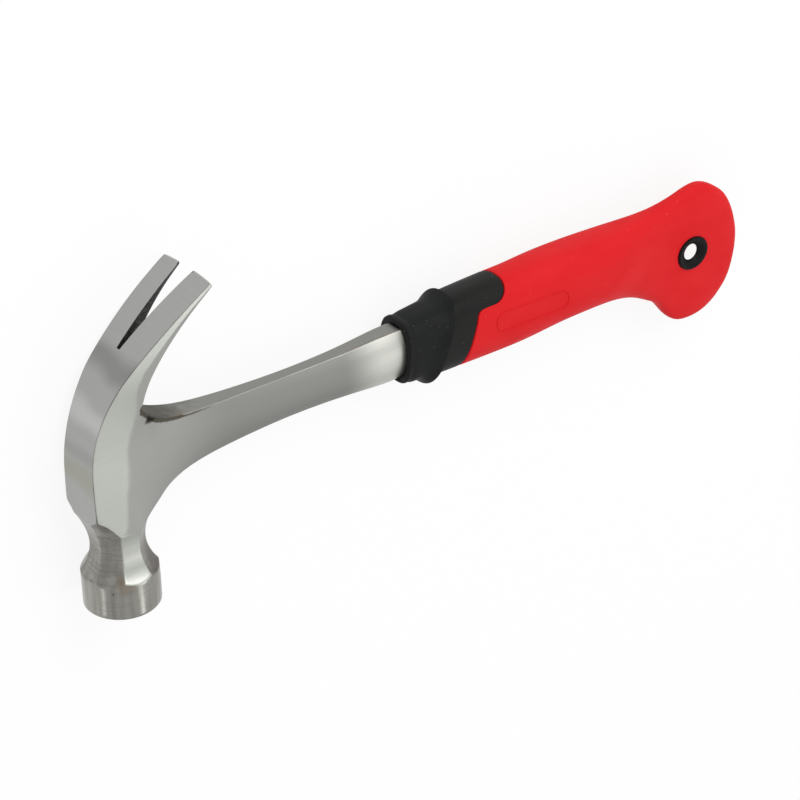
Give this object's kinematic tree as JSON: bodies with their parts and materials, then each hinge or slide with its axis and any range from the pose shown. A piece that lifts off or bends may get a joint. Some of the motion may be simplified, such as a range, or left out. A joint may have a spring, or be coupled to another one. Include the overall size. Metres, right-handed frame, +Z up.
{
  "type": "claw hammer",
  "caption": "One-piece forged steel curved-claw hammer with an octagonal ground neck, a rubber boot, a soft moulded grip and a hooked butt with a hang hole.",
  "frame": {"origin": "centre of the bounding box on the surface that the hammer lies on, on its side", "axes": "+X along the handle from the head to the butt, +Y from the striking face to the claws, +Z up through the thickness"},
  "size_m": [0.3042, 0.121, 0.0284],
  "materials": {
    "forged_steel": "ground and brushed",
    "boot_rubber": "moulded, matte",
    "core_plastic": "moulded, satin",
    "grip_rubber": "moulded, satin",
    "bush_plastic": "moulded, satin"
  },
  "bodies": {
    "root": {"forged_head_shank": "forged_steel", "front_boot": "boot_rubber", "grip_core": "core_plastic", "grip_skin": "grip_rubber", "hang_hole_bush": "bush_plastic"}
  },
  "joints": []
}
